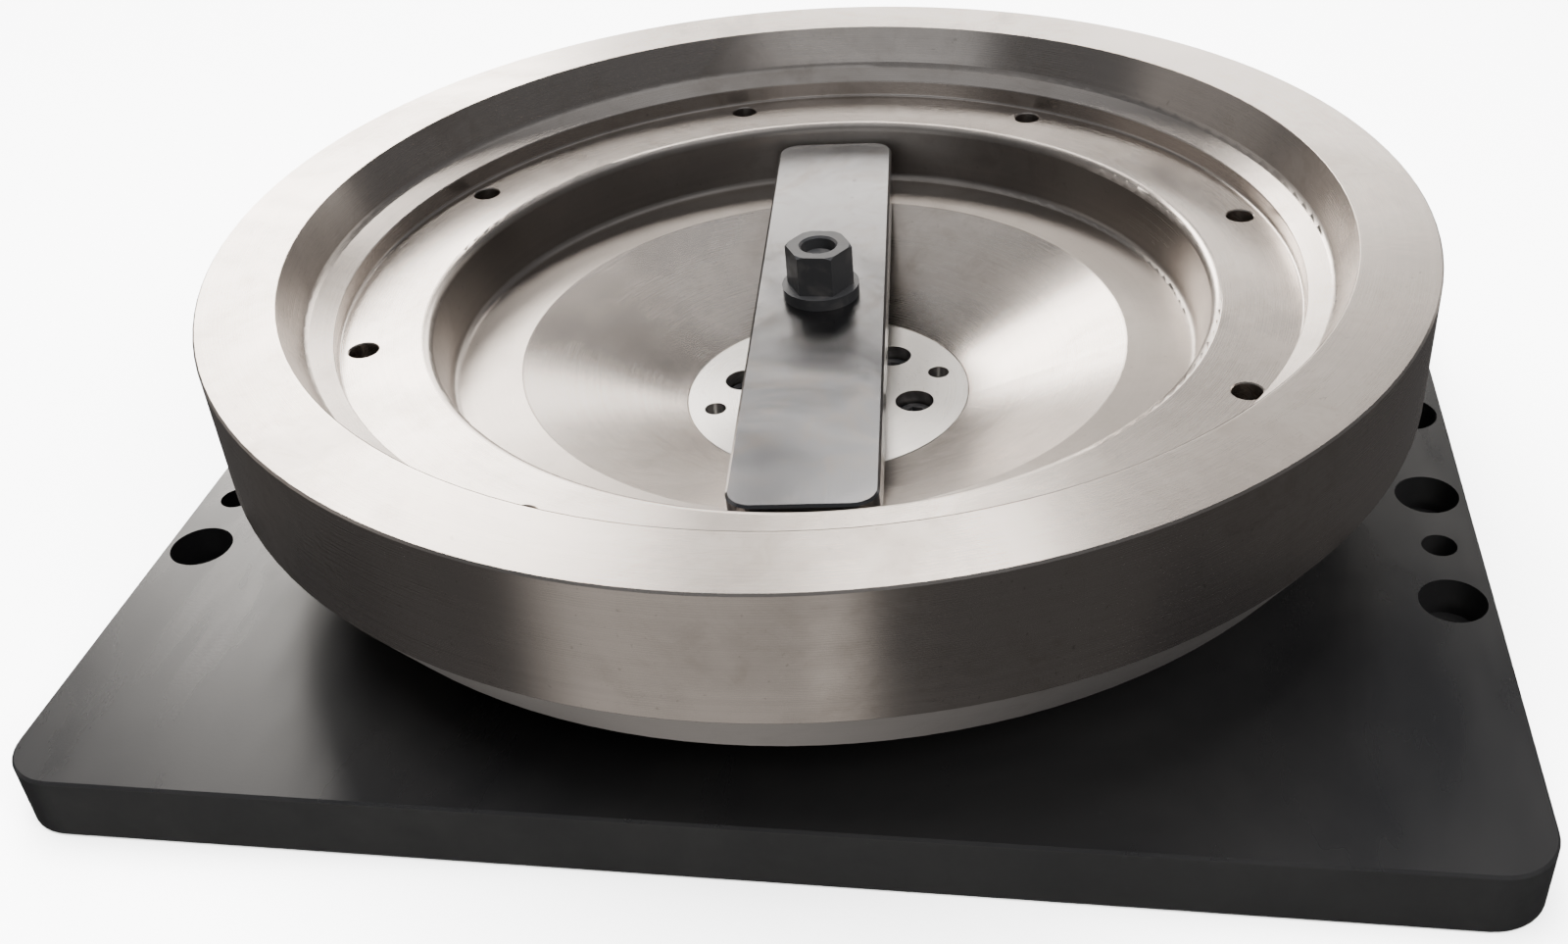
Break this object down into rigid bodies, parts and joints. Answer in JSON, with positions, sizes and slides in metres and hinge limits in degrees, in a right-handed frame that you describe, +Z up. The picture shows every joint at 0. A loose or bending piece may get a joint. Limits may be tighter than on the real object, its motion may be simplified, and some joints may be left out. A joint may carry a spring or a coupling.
{
  "type": "rotary table",
  "caption": "Dished turned rotary table on a ball slewing ring and bolted base plate, with a clamp strap across its recess held by a collar nut.",
  "frame": {"origin": "on the turning axis, at the underside of the base plate", "axes": "+X along the long side of the base plate, towards its right; +Z up the turning axis"},
  "size_m": [0.546, 0.5, 0.137],
  "materials": {
    "black_plate": "semi-gloss",
    "turned_steel": "fine turned, bright",
    "ground_steel": "ground, bright",
    "bearing_steel": "ground",
    "polished_steel": "polished",
    "black_steel": "black oxide, matt",
    "brass": "satin",
    "seal_rubber": "matt"
  },
  "bodies": {
    "base": {"base_plate": "black_plate", "base_cover": "bearing_steel", "cover_screws": "black_steel", "bearing_outer_ring": "bearing_steel", "outer_ring_screws": "black_steel", "ring_dowels": "bearing_steel", "dust_seal": "seal_rubber", "fill_plug": "bearing_steel", "plug_pin": "bearing_steel", "grease_nipple": "brass"},
    "cage": {"bearing_balls": "polished_steel", "bearing_cage": "brass"},
    "table": {"platter_web": "turned_steel", "platter_ring": "turned_steel", "platter_rim": "turned_steel", "bearing_inner_ring": "bearing_steel", "inner_ring_screws": "black_steel", "hub_disc": "ground_steel", "hub_screws": "black_steel", "hub_dowels": "bearing_steel", "spindle": "bearing_steel", "stud": "black_steel"},
    "strap": {"clamp_strap": "ground_steel"},
    "nut": {"collar_nut": "black_steel"}
  },
  "joints": [
    {"name": "table_spin", "type": "hinge", "parent": "base", "child": "table", "pos_m": [0, 0, 0.038], "axis": [0, 0, 1], "continuous": true},
    {"name": "cage_spin", "type": "hinge", "parent": "base", "child": "cage", "pos_m": [0, 0, 0.038], "axis": [0, 0, 1], "continuous": true},
    {"name": "strap_lift", "type": "slide", "parent": "table", "child": "strap", "axis": [0, 0, 1], "range_m": [0, 0.006]},
    {"name": "nut_turn", "type": "hinge", "parent": "strap", "child": "nut", "pos_m": [0, 0, 0.1], "axis": [0, 0, 1], "range_deg": [0, 1080]}
  ],
  "couplings": [
    {"joint": "cage_spin", "follows": "table_spin", "ratio": 0.47115},
    {"joint": "nut_turn", "follows": "strap_lift", "rad_per_m": 3141.6}
  ]
}
